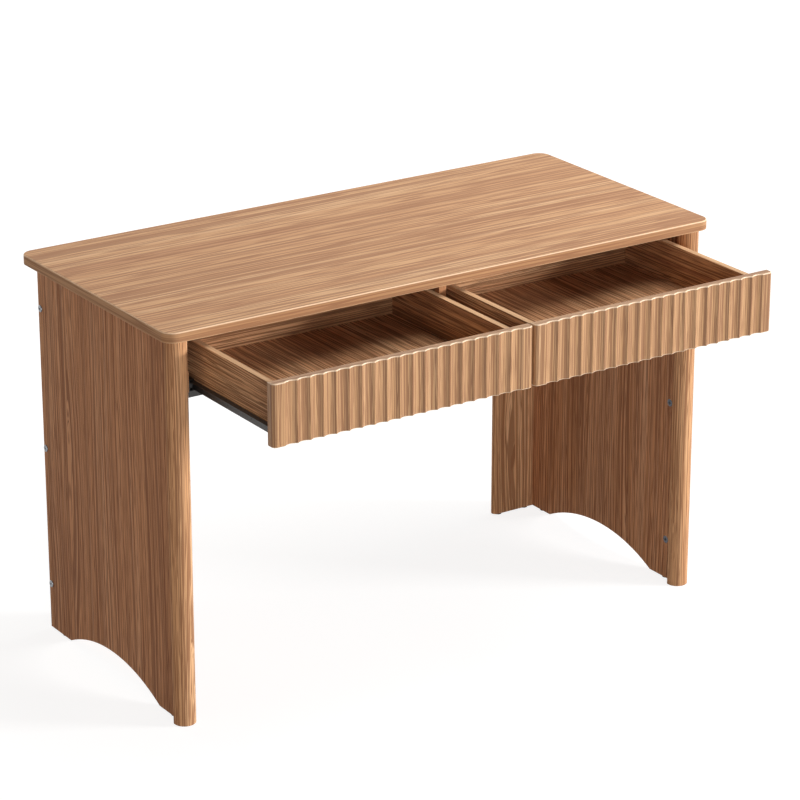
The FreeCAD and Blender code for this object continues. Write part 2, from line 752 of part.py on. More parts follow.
def front_outline(x0, x1, inset, z):
    """Plan outline of a fluted front at one height, drawn in all round by an inset."""
    count = int((x1 - x0 - 2 * FLUTE_LEAST_LAND) / FLUTE_PITCH)
    first_x = (x0 + x1 - count * FLUTE_PITCH) / 2
    half_chord = (FLUTE_PITCH - FLUTE_RIDGE) / 2
    radius = (half_chord ** 2 + FLUTE_DEPTH ** 2) / (2 * FLUTE_DEPTH)
    reach = math.sqrt((radius + inset) ** 2 - (radius + inset - FLUTE_DEPTH) ** 2)
    land_y = front_face_y + inset
    rear_y = front_rear_y - inset
    low_x = x0 + inset
    high_x = x1 - inset
    corner = FRONT_END_RADIUS - inset
    bow = corner * (1 - math.sqrt(0.5))
    points = [
        Vector(low_x + corner, land_y, z),
        Vector(low_x, land_y + corner, z),
        Vector(low_x, rear_y, z),
        Vector(high_x, rear_y, z),
        Vector(high_x, land_y + corner, z),
        Vector(high_x - corner, land_y, z),
    ]
    edges = [Part.Arc(points[0], Vector(low_x + bow, land_y + bow, z), points[1]).toShape()]
    edges += lines_through(points[1:5])
    edges.append(Part.Arc(points[4], Vector(high_x - bow, land_y + bow, z), points[5]).toShape())
    last = points[5]
    for i in reversed(range(count)):
        middle_x = first_x + FLUTE_PITCH * (i + 0.5)
        start = Vector(middle_x + reach, land_y, z)
        end = Vector(middle_x - reach, land_y, z)
        edges.append(Part.makeLine(last, start))
        edges.append(Part.Arc(start, Vector(middle_x, land_y + FLUTE_DEPTH, z), end).toShape())
        last = end
    edges.append(Part.makeLine(last, points[0]))
    return Part.Wire(edges)


def drawer_front(side):
    """Front with a row of hollow flutes, rounded ends and eased upper and lower edges."""
    ends = sorted((side * front_near_x, side * front_far_x))
    lower = []
    upper = []
    for turn in (0.0, math.pi / 4, math.pi / 2):
        inset = FRONT_EDGE_ROUND * (1 - math.sin(turn))
        rise = FRONT_EDGE_ROUND * (1 - math.cos(turn))
        lower.append(front_outline(ends[0], ends[1], inset, front_bottom_z + rise))
        upper.insert(0, front_outline(ends[0], ends[1], inset, front_top_z - rise))
    front = Part.makeLoft(lower + upper, True, True)
    holes = [drawer_groove(side)]
    for place, inward in drawer_cams(side):
        holes.append(cam_bolt_hole(place + inward * (SIDE_THICKNESS / 2), -Y_AXIS))
    return drilled(front, holes)


def drawer_groove(side):
    """Space of a drawer's bottom panel, with the grooves in its front, sides and back."""
    near = side * (box_near_x + SIDE_THICKNESS - GROOVE_DEPTH)
    far = side * (box_far_x - SIDE_THICKNESS + GROOVE_DEPTH)
    front_y = front_rear_y - GROOVE_DEPTH
    rear_y = box_rear_y - SIDE_THICKNESS + GROOVE_DEPTH
    return block(near, far, front_y, rear_y, bottom_z, bottom_z + BOTTOM_THICKNESS)


def drawer_bottom(side):
    """Thin panel held in the grooves, a little smaller than they are."""
    space = drawer_groove(side).BoundBox
    low = Vector(space.XMin + GROOVE_CLEARANCE, space.YMin + GROOVE_CLEARANCE, space.ZMin)
    high = Vector(space.XMax, space.YMax, space.ZMax) - Vector(1, 1, 1) * GROOVE_CLEARANCE
    return block_between(low, high)


def drawer_side(side, which):
    """Side board of a drawer, with its groove and fastener holes."""
    wall_x, way = runner_wall(side, which)
    outer = wall_x + way * RUNNER_GAP
    inner = outer + way * SIDE_THICKNESS
    board = eased_block(outer, inner, front_rear_y, box_rear_y, side_bottom_z, side_top_z)
    holes = [drawer_groove(side)]
    for place, inward in drawer_cams(side):
        holes.append(cam_hole(place, inward, DRAWER_CAM_DIAMETER, DRAWER_CAM_DEPTH))
        holes.append(cam_bolt_hole(place + inward * (SIDE_THICKNESS / 2), -Y_AXIS))
    for face, inward in drawer_back_screws(side):
        holes.append(flat_screw(face, inward, BACK_SCREW_LENGTH, FASTENER_CLEARANCE))
    for face, inward in drawer_runner_screws(side, which):
        holes.append(pan_screw_hole(face, inward, RUNNER_STEEL + PAN_SCREW_GRIP))
    return drilled(board, holes)


def drawer_back(side):
    """Back board of a drawer, between its sides."""
    near = side * (box_near_x + SIDE_THICKNESS)
    far = side * (box_far_x - SIDE_THICKNESS)
    front_y = box_rear_y - SIDE_THICKNESS
    high = side_top_z - BOX_BACK_DROP
    board = eased_block(near, far, front_y, box_rear_y, side_bottom_z, high)
    holes = [drawer_groove(side)]
    for face, inward in drawer_back_screws(side):
        holes.append(flat_screw(face, inward, BACK_SCREW_LENGTH, FASTENER_CLEARANCE))
    return drilled(board, holes)


# Groups of like fasteners


def frame_fasteners():
    """Fastener groups of the standing frame, by node name."""
    groups = {
        "frame_cam_locks": [],
        "frame_cam_bolts": [],
        "frame_dowels": [dowel(start, axis) for start, axis in frame_dowels()],
        "wing_bolts": [],
        "wing_barrel_nuts": [],
        "glides": [],
        "batten_screws": [],
        "fixed_runner_screws": [],
        "front_rail_screws": [pan_screw(divider_rail_seat(), Z_AXIS, RAIL_WALL + PAN_SCREW_GRIP)],
        "divider_screws": [],
    }
    socket_depth = min(PANEL_THICKNESS, BACK_THICKNESS) / 2
    for place, inward, bolt_axis, thickness in frame_cams():
        cam = cam_lock(place, inward, bolt_axis, CAM_DIAMETER, CAM_DEPTH, socket_depth)
        groups["frame_cam_locks"].append(cam)
        groups["frame_cam_bolts"].append(cam_bolt(place + inward * (thickness / 2), bolt_axis))
    for side in SIDES.values():
        for face in wing_bolt_places(side):
            groups["wing_bolts"].append(wing_bolt(face, X_AXIS * -side))
            bore = wing_bolt_hole(face, X_AXIS * -side)
            groups["wing_barrel_nuts"].append(drilled(barrel_nut(side, face.z), [bore]))
        for x, y in glide_places(side):
            groups["glides"].append(glide(x, y))
        for face in batten_screw_places(side):
            groups["batten_screws"].append(batten_screw(side, face))
        for which in RUNNER_PLACES:
            for face, inward in fixed_runner_screws(side, which):
                screw = pan_screw(face, inward, RUNNER_STEEL + PAN_SCREW_GRIP)
                groups["fixed_runner_screws"].append(screw)
        for face, inward in rail_plate_screws(side):
            screw = pan_screw(face, inward, RAIL_PLATE_WALL + PAN_SCREW_GRIP)
            groups["front_rail_screws"].append(screw)
    for face in divider_back_seats():
        groups["divider_screws"].append(flat_screw(face, -Y_AXIS, BACK_SCREW_LENGTH))
    return groups


def drawer_fasteners(name, side):
    """Fastener groups of one drawer, by node name."""
    cams = []
    bolts = []
    bolt_depth = SIDE_THICKNESS / 2
    for place, inward in drawer_cams(side):
        cam = cam_lock(place, inward, -Y_AXIS, DRAWER_CAM_DIAMETER, DRAWER_CAM_DEPTH, bolt_depth)
        cams.append(cam)
        bolts.append(cam_bolt(place + inward * bolt_depth, -Y_AXIS))
    back_screws = []
    for face, inward in drawer_back_screws(side):
        back_screws.append(flat_screw(face, inward, BACK_SCREW_LENGTH))
    runner_screws = []
    for which in RUNNER_PLACES:
        for face, inward in drawer_runner_screws(side, which):
            runner_screws.append(pan_screw(face, inward, RUNNER_STEEL + PAN_SCREW_GRIP))
    return {
        name + "_drawer_cam_locks": cams,
        name + "_drawer_cam_bolts": bolts,
        name + "_drawer_back_screws": back_screws,
        name + "_drawer_runner_screws": runner_screws,
    }


def desk_nodes():
    """Every node of the desk with its solids."""
    nodes = {
        "desktop": [desktop()],
        "back_panel": [back_panel()],
        "centre_divider": [centre_divider()],
        "front_rail": [front_rail()],
    }
    for name, side in SIDES.items():
        nodes[name + "_side_panel"] = [side_panel(side)]
        nodes[name + "_front_post"] = [front_post(side)]
        nodes[name + "_rear_wing"] = [rear_wing(side)]
        nodes[name + "_runner_batten"] = [runner_batten(side)]
        nodes[name + "_drawer_front"] = [drawer_front(side)]
        nodes[name + "_drawer_back"] = [drawer_back(side)]
        nodes[name + "_drawer_bottom"] = [drawer_bottom(side)]
        for which in RUNNER_PLACES:
            nodes[name + "_drawer_" + which + "_side"] = [drawer_side(side, which)]
            nodes[name + "_" + which + "_fixed_runner"] = [fixed_runner(side, which)]
            nodes[name + "_" + which + "_drawer_runner"] = [drawer_runner(side, which)]
        nodes[name + "_front_rollers"] = front_rollers(side)
        nodes[name + "_rear_rollers"] = rear_rollers(side)
        nodes.update(drawer_fasteners(name, side))
    nodes.update(frame_fasteners())
    return nodes


def main():
    """Writes one file per node."""
    os.makedirs("parts", exist_ok=True)
    for name, solids in desk_nodes().items():
        shape = solids[0] if len(solids) == 1 else Part.makeCompound(solids)
        shape.exportStep("parts/" + name + ".step")
        volume = sum(solid.Volume for solid in solids) / 1000.0
        print(name, len(solids), "solids", round(volume, 2), "cm3", shape.isValid())


main()
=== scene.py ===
"""Studio scene of a writing desk with two fluted drawers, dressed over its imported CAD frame."""

import logging
import math
from dataclasses import dataclass
from enum import Enum
from typing import Any, Iterator

import bpy
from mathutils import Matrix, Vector

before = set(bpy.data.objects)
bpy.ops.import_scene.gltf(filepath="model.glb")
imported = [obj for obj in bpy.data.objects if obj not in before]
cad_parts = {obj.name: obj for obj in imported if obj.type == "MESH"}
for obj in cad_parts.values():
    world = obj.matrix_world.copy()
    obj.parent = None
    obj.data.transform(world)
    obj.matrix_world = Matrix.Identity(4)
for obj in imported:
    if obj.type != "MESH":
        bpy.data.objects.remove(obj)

Tree = bpy.types.NodeTree
Socket = bpy.types.NodeSocket
Material = bpy.types.Material
Pair = tuple[float, float]
Triple = tuple[float, float, float]

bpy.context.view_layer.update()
LOG = logging.getLogger("desk")
MM = 0.001
PICTURE_PIXELS = 800
SENSOR_MM = 36.0
WHITE = "#ffffff"

# The sRGB curve is straight up to its knee, and a power above it.
SRGB_TOP = 255
SRGB_KNEE = 0.04045
SRGB_SLOPE = 12.92
SRGB_OFFSET = 0.055
SRGB_POWER = 2.4

# A Mix node has sockets for every data type, so its two inputs and its output go by number.
MIX_NUMBERS = (2, 3, 0)
MIX_VECTORS = (4, 5, 1)
MIX_COLOURS = (6, 7, 2)


class Side(Enum):
    """Which half of the desk a sub-assembly belongs to."""

    LEFT = "left"
    RIGHT = "right"


class Axis(Enum):
    """An axis of the desk: X to the right, Y to the back, Z up."""

    X = 0
    Y = 1
    Z = 2


def linear(colour: str) -> tuple[float, float, float, float]:
    """Turns an sRGB hex colour to linear light.

    Args:
        colour: six hex digits after a hash sign.

    Returns:
        Linear red, green, blue, and an alpha of one.
    """
    parts = [int(colour[start : start + 2], 16) / SRGB_TOP for start in (1, 3, 5)]
    red, green, blue = (
        part / SRGB_SLOPE
        if part <= SRGB_KNEE
        else ((part + SRGB_OFFSET) / (1 + SRGB_OFFSET)) ** SRGB_POWER
        for part in parts
    )
    return red, green, blue, 1.0


def per_metre(*sizes_mm: float) -> tuple[float, ...]:
    """Turns pattern sizes in millimetres to how often each repeats in a metre."""
    return tuple(1 / (size * MM) for size in sizes_mm)


def add_node(
    tree: Tree,
    kind: str,
    inputs: dict[str | int, Any] | None = None,
    stops: tuple[tuple[float, str], ...] = (),
    **settings: Any,
) -> bpy.types.Node:
    """Adds a node with its settings and links.

    Args:
        tree: node tree that takes the node.
        kind: node type.
        inputs: value, or socket to link from, for each input by name or number.
        stops: position and hex colour of each stop of a colour ramp, its two ends first.
        settings: attributes of the node by name.

    Returns:
        The new node.
    """
    node = tree.nodes.new(kind)
    for name, value in settings.items():
        setattr(node, name, value)
    for key, value in (inputs or {}).items():
        if isinstance(value, Socket):
            tree.links.new(value, node.inputs[key])
        else:
            node.inputs[key].default_value = value
    for number, (position, colour) in enumerate(stops):
        ramp = node.color_ramp.elements
        stop = ramp[number] if number < len(ramp) else ramp.new(position)
        stop.position, stop.color = position, linear(colour)
    return node


def new_material(name: str) -> Material:
    """Starts a material with an empty node tree.

    Args:
        name: what the finish is and how it was made.

    Returns:
        The material.
    """
    material = bpy.data.materials.new(name)
    material.use_nodes = True
    material.node_tree.nodes.clear()
    return material


def dress(node: str, material: Material) -> None:
    """Puts a material on a CAD node.

    Args:
        node: the CAD node's name.
        material: its finish.
    """
    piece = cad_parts[node]
    if not piece.material_slots:
        piece.data.materials.append(material)
    for slot in piece.material_slots:
        slot.material = material


@dataclass(frozen=True)
class Board:
    """A foil-covered board and how the print lies on it.

    Attributes:
        node: the CAD node.
        grain: the axis that the print runs along on the broad faces.
        thin: the axis across the board's thickness, or none where the foil goes round the piece.
        cut: where on the printed roll the board's sheet was cut, in millimetres along and across.
        paints_edge_highlight: whether the eased upper and lower edges get a painted highlight.
        banded: whether the edges have a band of another colour glued on.
    """

    node: str
    grain: Axis
    thin: Axis | None
    cut: Pair
    # This flag paints a highlight on the eased upper and lower edges.
    paints_edge_highlight: bool = False
    banded: bool = False


@dataclass(frozen=True)
class Layer:
    """One layer of a printed grain, a noise stretched along the grain.

    Attributes:
        along_mm: size of its pattern along the grain.
        across_mm: size of its pattern across the grain.
        detail: how many finer copies are added.
        finer_share: strength of each finer copy beside the one before.
    """

    along_mm: float
    across_mm: float
    detail: float = 0.0
    finer_share: float = 0.6

    def draw(self, tree: Tree, place: Socket) -> Socket:
        """Draws the layer.

        Args:
            tree: node tree of the material.
            place: place on the printed sheet.

        Returns:
            The layer's strength, about a half.
        """
        scale = per_metre(self.along_mm, self.across_mm, self.across_mm)
        scaled = add_node(
            tree, "ShaderNodeVectorMath", {0: place, 1: scale}, operation="MULTIPLY"
        ).outputs[0]
        return add_node(
            tree,
            "ShaderNodeTexNoise",
            {
                "Vector": scaled,
                "Scale": 1.0,
                "Detail": self.detail,
                "Roughness": self.finer_share,
            },
        ).outputs[0]


@dataclass(frozen=True)
class WalnutFoil:
    """Walnut-print foil, pressed on particle board with an embossed plate.

    The eye gets an even brown ground with close dark lines that drift and here and there close
    into a flame, short dark pores, and a low sheen that the pores break.

    Attributes:
        name: the foil, how it was put on, and where.
        deep, warm, light, pale: colours of the ground, from late wood to early wood.
        ink: colour of the lines and pores.
        roughness: mean roughness.
        specular: specular level.
        painted_highlight: colour of a highlight painted on the eased edges, if there is one.
        edge: colour of the edge bands, if there are any.
        edge_share: how much of the edge bands' colour is plain, without the print.
        drift: layer that makes the print wander.
        drift_reach_mm: how far the print wanders.
        flame: layer that makes the flames.
        flame_reach_mm: how far a flame pushes the print aside.
        band, streak, line, pore: layers of broad bands, streaks, dark lines and pores.
        flame_range, line_range, pore_range: strengths of the layer where its mark begins and
            where it is full.
        line_share, pore_share: how much ink a full line or pore takes.
        band_share: how much of the ground's tone comes from the broad bands.
        tones: tones at which the ground is deep, pale, warm and light.
        stagger_mm: how far the lines shift their pores along the grain.
        pit_mm, pit_strength: depth of an embossed pore and how strongly it shows.
        polish, dulling: how much smoother the ground is than the mean, and how much rougher the
            ink.
        ior: refractive index of the foil's lacquer.
        edge_tilt: part of a face's normal across the board under which it is an edge.
        highlight_low: upward part of the normal where the painted highlight begins and where it is
            full.
        highlight_high: upward part of the normal where the highlight ends and where it is still
            full.
        highlight_share: how much of the painted highlight's colour shows at most.
    """

    name: str
    deep: str
    warm: str
    light: str
    pale: str
    ink: str
    roughness: float
    specular: float
    # A highlight painted on the eased edges, standing in for the light they catch.
    painted_highlight: str | None = None
    edge: str | None = None
    edge_share: float = 0.6
    drift: Layer = Layer(800.0, 110.0)
    drift_reach_mm: float = 28.0
    flame: Layer = Layer(760.0, 70.0)
    flame_reach_mm: float = 20.0
    band: Layer = Layer(1500.0, 60.0, detail=1.0)
    streak: Layer = Layer(700.0, 9.0, detail=2.0)
    # Late wood lines are about 0.5 mm wide and pores 0.3 mm, too fine for the picture, so they
    # are drawn coarser.
    line: Layer = Layer(700.0, 2.6, detail=1.0)
    pore: Layer = Layer(46.0, 1.6)
    flame_range: Pair = (0.6, 0.8)
    line_range: Pair = (0.5, 0.56)
    pore_range: Pair = (0.51, 0.68)
    line_share: float = 0.75
    pore_share: float = 0.85
    band_share: float = 0.4
    tones: tuple[float, float, float, float] = (0.33, 0.67, 0.45, 0.55)
    stagger_mm: float = 400.0
    pit_mm: float = 0.15
    pit_strength: float = 0.25
    polish: float = 0.04
    dulling: float = 0.08
    ior: float = 1.5
    edge_tilt: float = 0.6
    # Where the painted highlight lies on the eased edges, and how strong it is.
    highlight_low: Pair = (0.1, 0.3)
    highlight_high: Pair = (0.99, 0.9)
    highlight_share: float = 0.7

    def edge_faces(self, tree: Tree, thin: Axis) -> Socket:
        """Finds a board's edges.

        Args:
            tree: node tree of the material.
            thin: the axis across the board's thickness.

        Returns:
            One on the edges and nought on the broad faces.
        """
        normal = add_node(tree, "ShaderNodeTexCoord").outputs["Normal"]
        facing = add_node(tree, "ShaderNodeSeparateXYZ", {0: normal}).outputs[thin.value]
        facing = add_node(tree, "ShaderNodeMath", {0: facing}, operation="ABSOLUTE").outputs[0]
        return add_node(
            tree, "ShaderNodeMath", {0: facing, 1: self.edge_tilt}, operation="LESS_THAN"
        ).outputs[0]

    def painted_highlight_mask(self, tree: Tree) -> Socket:
        """Finds the eased edges, whose faces look neither up nor level, to paint a highlight on
        them.

        Args:
            tree: node tree of the material.

        Returns:
            How much of the painted highlight a face gets.
        """
        normal = add_node(tree, "ShaderNodeTexCoord").outputs["Normal"]
        up = add_node(tree, "ShaderNodeSeparateXYZ", {0: normal}).outputs[Axis.Z.value]
        up = add_node(tree, "ShaderNodeMath", {0: up}, operation="ABSOLUTE").outputs[0]
        begin, full = self.highlight_low
        rise = add_node(
            tree, "ShaderNodeMapRange", {"Value": up, "From Min": begin, "From Max": full}
        ).outputs[0]
        end, full = self.highlight_high
        fall = add_node(
            tree,
            "ShaderNodeMapRange",
            {"Value": up, "From Min": end, "From Max": full, "To Max": self.highlight_share},
        ).outputs[0]
        return add_node(
            tree, "ShaderNodeMath", {0: rise, 1: fall}, operation="MULTIPLY"
        ).outputs[0]

    def print_place(self, tree: Tree, board: Board) -> Socket:
        """Finds each point's place on the printed sheet; an edge band's print runs along the edge.

        Args:
            tree: node tree of the material.
            board: the board to cover.

        Returns:
            Place along the grain, across it, and through the board, in metres.
        """
        point = add_node(tree, "ShaderNodeTexCoord").outputs["Object"]
        axes = add_node(tree, "ShaderNodeSeparateXYZ", {0: point}).outputs
        thin = Axis.Y if board.thin is None else board.thin
        wide = next(axis for axis in Axis if axis not in (board.grain, thin))
        along, across, through = (axes[axis.value] for axis in (board.grain, wide, thin))
        place = add_node(
            tree, "ShaderNodeCombineXYZ", {0: along, 1: across, 2: through}
        ).outputs[0]
        if board.thin is not None:
            out = add_node(tree, "ShaderNodeMath", {0: along}, operation="ABSOLUTE").outputs[0]
            run = add_node(
                tree, "ShaderNodeMath", {0: out, 1: across}, operation="ADD"
            ).outputs[0]
            band = add_node(tree, "ShaderNodeCombineXYZ", {0: run, 1: through}).outputs[0]
            broad, narrow, mixed = MIX_VECTORS
            place = add_node(
                tree,
                "ShaderNodeMix",
                {"Factor": self.edge_faces(tree, thin), broad: place, narrow: band},
                data_type="VECTOR",
            ).outputs[mixed]
        cut_along, cut_across = board.cut
        cut = (cut_along * MM, cut_across * MM, 0.0)
        return add_node(
            tree, "ShaderNodeVectorMath", {0: place, 1: cut}, operation="ADD"
        ).outputs[0]

    def wander(self, tree: Tree, place: Socket) -> Socket:
        """Lets the print drift, and pushes it aside round its flames.

        Args:
            tree: node tree of the material.
            place: place on the printed sheet.

        Returns:
            Place on the sheet before it wandered.
        """
        begin, full = self.flame_range
        swell = add_node(
            tree,
            "ShaderNodeMapRange",
            {
                "Value": self.flame.draw(tree, place),
                "From Min": begin,
                "From Max": full,
                "To Max": self.flame_reach_mm * MM,
            },
        ).outputs[0]
        shift = add_node(
            tree,
            "ShaderNodeMath",
            {0: self.drift.draw(tree, place), 1: self.drift_reach_mm * MM, 2: swell},
            operation="MULTIPLY_ADD",
        ).outputs[0]
        aside = add_node(tree, "ShaderNodeCombineXYZ", {1: shift}).outputs[0]
        return add_node(
            tree, "ShaderNodeVectorMath", {0: place, 1: aside}, operation="ADD"
        ).outputs[0]

    def ground(self, tree: Tree, flow: Socket) -> Socket:
        """Colours the ground by its broad bands and its streaks.

        Args:
            tree: node tree of the material.
            flow: place on the printed sheet, with its wandering.

        Returns:
            The ground's colour.
        """
        fine, broad, mixed = MIX_NUMBERS
        tone = add_node(
            tree,
            "ShaderNodeMix",
            {
                "Factor": self.band_share,
                fine: self.streak.draw(tree, flow),
                broad: self.band.draw(tree, flow),
            },
            data_type="FLOAT",
        ).outputs[mixed]
        stops = tuple(zip(self.tones, (self.deep, self.pale, self.warm, self.light)))
        return add_node(tree, "ShaderNodeValToRGB", {0: tone}, stops).outputs[0]

    def marks(self, tree: Tree, flow: Socket) -> tuple[Socket, Socket]:
        """Draws the dark lines and the pores.

        Args:
            tree: node tree of the material.
            flow: place on the printed sheet, with its wandering.

        Returns:
            How much ink the lines take, and how much the pores take.
        """
        line = self.line.draw(tree, flow)
        # Pores are staggered along the grain, so that they don't stand in rows.
        stagger = (self.stagger_mm * MM, 0.0, 0.0)
        staggered = add_node(
            tree,
            "ShaderNodeVectorMath",
            {0: line, 1: stagger, 2: flow},
            operation="MULTIPLY_ADD",
        ).outputs[0]
        pore = self.pore.draw(tree, staggered)
        late, pit = (
            add_node(
                tree,
                "ShaderNodeMapRange",
                {"Value": layer, "From Min": begin, "From Max": full, "To Max": share},
            ).outputs[0]
            for layer, (begin, full), share in (
                (line, self.line_range, self.line_share),
                (pore, self.pore_range, self.pore_share),
            )
        )
        return late, pit

    def cover(self, board: Board) -> Material:
        """Makes the foil for one board.

        Args:
            board: the board to cover.

        Returns:
            The board's material.
        """
        material = new_material(f"{self.name}, {board.node}")
        tree = material.node_tree
        flow = self.wander(tree, self.print_place(tree, board))
        late, pit = self.marks(tree, flow)
        dark = add_node(
            tree, "ShaderNodeMath", {0: late, 1: pit}, operation="MAXIMUM"
        ).outputs[0]
        coats = [(dark, self.ink)]
        if board.banded:
            edge = self.edge_faces(tree, board.thin)
            glued = add_node(
                tree, "ShaderNodeMath", {0: edge, 1: self.edge_share}, operation="MULTIPLY"
            ).outputs[0]
            coats.append((glued, self.edge))
        if board.paints_edge_highlight:
            # A highlight is painted on the eased edges: a paler colour that stands in for the
            # light they catch.
            coats.append((self.painted_highlight_mask(tree), self.painted_highlight))
        colour = self.ground(tree, flow)
        under, over, mixed = MIX_COLOURS
        for share, coat in coats:
            colour = add_node(
                tree,
                "ShaderNodeMix",
                {"Factor": share, under: colour, over: linear(coat)},
                data_type="RGBA",
            ).outputs[mixed]
        rough = add_node(
            tree,
            "ShaderNodeMapRange",
            {
                "Value": dark,
                "To Min": self.roughness - self.polish,
                "To Max": self.roughness + self.dulling,
            },
        ).outputs[0]
        bump = add_node(
            tree,
            "ShaderNodeBump",
            {"Height": pit, "Strength": self.pit_strength, "Distance": self.pit_mm * MM},
            invert=True,
        ).outputs[0]
        surface = add_node(
            tree,
            "ShaderNodeBsdfPrincipled",
            {
                "Base Color": colour,
                "Roughness": rough,
                "IOR": self.ior,
                "Specular IOR Level": self.specular,
                "Normal": bump,
            },
        ).outputs[0]
        add_node(tree, "ShaderNodeOutputMaterial", {"Surface": surface})
        return material


@dataclass(frozen=True)
class FineFinish:
    """A hard finish with one fine grain, such as a cast, plated, coated or moulded skin.

    Attributes:
        name: the material and how its surface was made.
        dark, light: colours of the grain's hollows and of its rises.
        metallic: one for bare metal.
        roughness: mean roughness.
        grain_mm: size of the grain along X, Y and Z.
        depth_mm: height of the grain.
        ior: refractive index, which a metal keeps at the default.
        detail: how many finer copies of the grain are added.
        tones: strengths of the grain at which its two colours stand.
        grain_range: strengths of the grain in its hollows and on its rises.
        swing: how much rougher the hollows are than the mean, and how much smoother the rises.
        bump_strength: how strongly the grain's height shows.
    """

    name: str
    dark: str
    light: str
    metallic: float
    roughness: float
    grain_mm: Triple
    depth_mm: float
    ior: float = 1.5
    detail: float = 2.0
    tones: Pair = (0.35, 0.65)
    grain_range: Pair = (0.3, 0.7)
    swing: float = 0.05
    bump_strength: float = 0.4

    def material(self) -> Material:
        """Makes the finish.

        Returns:
            The material.
        """
        material = new_material(self.name)
        tree = material.node_tree
        point = add_node(tree, "ShaderNodeTexCoord").outputs["Object"]
        scaled = add_node(
            tree,
            "ShaderNodeVectorMath",
            {0: point, 1: per_metre(*self.grain_mm)},
            operation="MULTIPLY",
        ).outputs[0]
        grain = add_node(
            tree, "ShaderNodeTexNoise", {"Vector": scaled, "Scale": 1.0, "Detail": self.detail}
        ).outputs[0]
        stops = tuple(zip(self.tones, (self.dark, self.light)))
        colour = add_node(tree, "ShaderNodeValToRGB", {0: grain}, stops).outputs[0]
        hollow, rise = self.grain_range
        rough = add_node(
            tree,
            "ShaderNodeMapRange",
            {
                "Value": grain,
                "From Min": hollow,
                "From Max": rise,
                "To Min": self.roughness + self.swing,
                "To Max": self.roughness - self.swing,
            },
        ).outputs[0]
        bump = add_node(
            tree,
            "ShaderNodeBump",
            {"Height": grain, "Strength": self.bump_strength, "Distance": self.depth_mm * MM},
        ).outputs[0]
        values: dict[str | int, Any] = {
            "Base Color": colour,
            "Roughness": rough,
            "Metallic": self.metallic,
            "Normal": bump,
        }
        if not self.metallic:
            values["IOR"] = self.ior
        surface = add_node(tree, "ShaderNodeBsdfPrincipled", values).outputs[0]
        add_node(tree, "ShaderNodeOutputMaterial", {"Surface": surface})
        return material


# Pressed flat with a satin plate, the top is pale and even, with long quiet grain and brown edge
# bands. Its pale, less red ground is partly the print and partly painted sheen of the lit top. It
# is seen at a low angle, so its streaks, lines and pores are drawn coarser again.
TOP_FOIL = WalnutFoil(
    "walnut-print foil, satin pressed, top",
    deep="#bc8c67",
    warm="#c89970",
    light="#d2a57b",
    pale="#dcb38a",
    ink="#9c7054",
    roughness=0.5,
    specular=0.1,
    # Highlight painted on the eased edges, standing in for the light they catch.
    painted_highlight="#efcfac",
    edge="#86603c",
    edge_share=0.3,
    drift_reach_mm=12.0,
    flame_reach_mm=0.0,
    streak=Layer(1100.0, 16.0, detail=2.0),
    line=Layer(900.0, 5.2, detail=1.0),
    pore=Layer(90.0, 3.4),
)
# Pressed with the same plate, the upright boards have flames and hardly any shine. Their redder
# ground is partly the print and partly painted warm shade, as they are mostly seen in shade.
UPRIGHT_FOIL = WalnutFoil(
    "walnut-print foil, satin pressed, upright",
    deep="#ba835b",
    warm="#cf956a",
    light="#d9a279",
    pale="#e2b18a",
    ink="#815339",
    roughness=0.45,
    specular=0.05,
    edge="#c99167",
)
# Rolled round the posts, the foil has no seam on the round. It is a paler, less red copy of the
# upright foil, on the posts and the wings: painted light, which lifts the wings that stand in
# shade and gives the posts the hue of lit faces.
PAINTED_LIGHT_POST_FOIL = WalnutFoil(
    "walnut-print foil, wrapped, post",
    deep="#c8966d",
    warm="#d5a276",
    light="#deae82",
    pale="#e7bc92",
    ink="#8d5f42",
    roughness=0.45,
    specular=0.06,
)
# A hot membrane sinks the foil into the flutes: it comes out smoother than the rest, so that
# each ridge catches the light, and its grain runs straight up.
FRONT_FOIL = WalnutFoil(
    "walnut-print foil, membrane pressed, front",
    deep="#b0865f",
    warm="#b98f68",
    light="#c3986f",
    pale="#cda37b",
    ink="#845c40",
    roughness=0.36,
    specular=0.25,
    # Highlight painted on the eased edges, standing in for the light they catch.
    painted_highlight="#f6dfc1",
    flame_reach_mm=0.0,
)
# A matt plate leaves the drawer boxes dull, with strong dark lines and pale bands on the edges.
BOX_FOIL = WalnutFoil(
    "walnut-print foil, matt pressed, box",
    deep="#b07d5c",
    warm="#cb976d",
    light="#d8a67b",
    pale="#e4b78c",
    ink="#6e4b33",
    roughness=0.5,
    specular=0.08,
    edge="#e6bd92",
    flame_reach_mm=6.0,
    line=Layer(500.0, 2.8, detail=1.0),
)
# Epoxy powder melts to a satin black skin with a faint orange peel of about 2 mm.
POWDER_COAT = FineFinish(
    "epoxy powder coat, baked on steel",
    dark="#1c1a19",
    light="#2b2826",
    metallic=0.0,
    roughness=0.42,
    grain_mm=(2.0, 2.0, 2.0),
    depth_mm=0.03,
    ior=1.55,
)
# Die-cast zinc comes tumbled: a dull grey metal with a sandy grain, drawn at 0.8 mm because the
# real one is too fine to show.
CAST_ZINC = FineFinish(
    "zinc alloy, die-cast and tumbled",
    dark="#35363a",
    light="#6b6c71",
    metallic=1.0,
    roughness=0.34,
    grain_mm=(0.8, 0.8, 0.8),
    depth_mm=0.02,
)
# Zinc plate over drawn steel is bright and slightly blue, with faint clouds of about 3 mm.
ZINC_PLATE = FineFinish(
    "steel, bright zinc plated",
    dark="#6c6f73",
    light="#97999d",
    metallic=1.0,
    roughness=0.3,
    grain_mm=(3.0, 3.0, 3.0),
    depth_mm=0.01,
)
